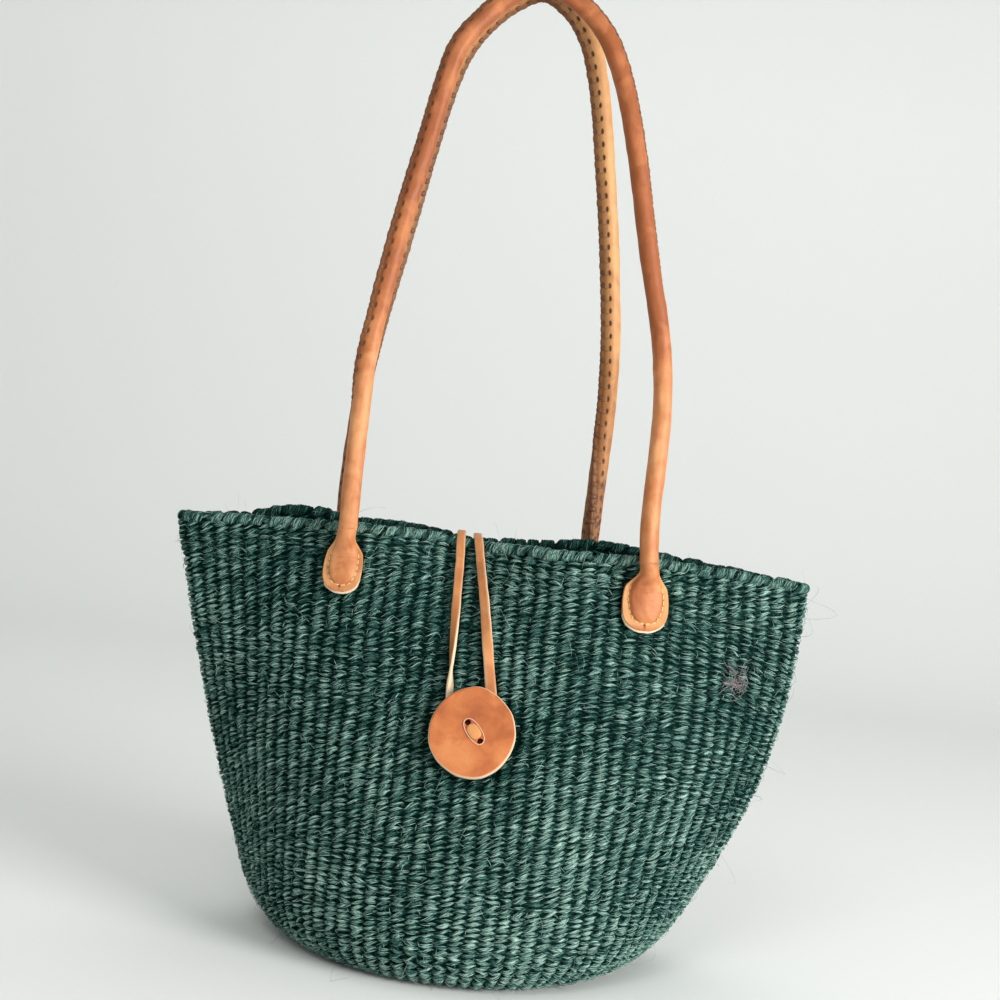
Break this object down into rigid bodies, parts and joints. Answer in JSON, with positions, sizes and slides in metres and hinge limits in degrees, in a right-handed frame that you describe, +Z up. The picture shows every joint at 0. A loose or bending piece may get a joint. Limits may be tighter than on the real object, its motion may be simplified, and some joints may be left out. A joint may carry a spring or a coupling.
{
  "type": "kiondo basket",
  "caption": "Woven sisal kiondo basket with rope-cored leather shoulder handles and a leather button closed by a thong loop.",
  "frame": {"origin": "middle of the flat base, on the surface that the basket stands on", "axes": "+Z up, +X to the wearer's right along the mouth, -Y out of the front where the button is"},
  "size_m": [0.3804, 0.2124, 0.5718],
  "materials": {
    "green_sisal": "matte",
    "tan_leather": "satin",
    "raw_leather": "matte",
    "tan_thong": "satin",
    "plain_rope": "matte"
  },
  "bodies": {
    "basket": {"woven_basket": "green_sisal", "rim_braid": "green_sisal", "handle_tab_front_left": "tan_leather", "handle_tab_front_right": "tan_leather", "handle_tab_back_left": "tan_leather", "handle_tab_back_right": "tan_leather", "tab_backing_front_left": "raw_leather", "tab_backing_front_right": "raw_leather", "tab_backing_back_left": "raw_leather", "tab_backing_back_right": "raw_leather", "inner_patch_front_left": "raw_leather", "inner_patch_front_right": "raw_leather", "inner_patch_back_left": "raw_leather", "inner_patch_back_right": "raw_leather", "loop_anchor_left": "tan_thong", "loop_anchor_right": "tan_thong", "button_washer": "raw_leather"},
    "front_handle": {"front_handle_cover": "tan_leather", "front_handle_core": "plain_rope"},
    "back_handle": {"back_handle_cover": "tan_leather", "back_handle_core": "plain_rope"},
    "button_tie": {"button_lace": "tan_thong"},
    "button": {"button_disc": "tan_leather"},
    "thong_loop": {"closure_loop": "tan_thong"}
  },
  "joints": [
    {"name": "front_handle_swing", "type": "hinge", "parent": "basket", "child": "front_handle", "pos_m": [0.00215, -0.03491, 0.2413], "axis": [1, 0, 0], "range_deg": [0, 100]},
    {"name": "back_handle_swing", "type": "hinge", "parent": "basket", "child": "back_handle", "pos_m": [-0.018, 0.03862, 0.2413], "axis": [-1, 0, 0], "range_deg": [0, 100]},
    {"name": "loop_lift", "type": "hinge", "parent": "basket", "child": "thong_loop", "pos_m": [-0.0155, 0.00696, 0.25004], "axis": [-1, 0, 0], "range_deg": [0, 110], "deforming": ["closure_loop"]},
    {"name": "button_turn", "type": "hinge", "parent": "basket", "child": "button_tie", "pos_m": [0, -0.06453, 0.1354], "axis": [-0.0593, -0.9134, 0.4027], "range_deg": [-30, 30]},
    {"name": "button_tilt", "type": "hinge", "parent": "button_tie", "child": "button", "pos_m": [-0.0004, -0.0707, 0.13812], "axis": [0.5364, -0.3694, -0.7588], "range_deg": [-5, 5]}
  ]
}
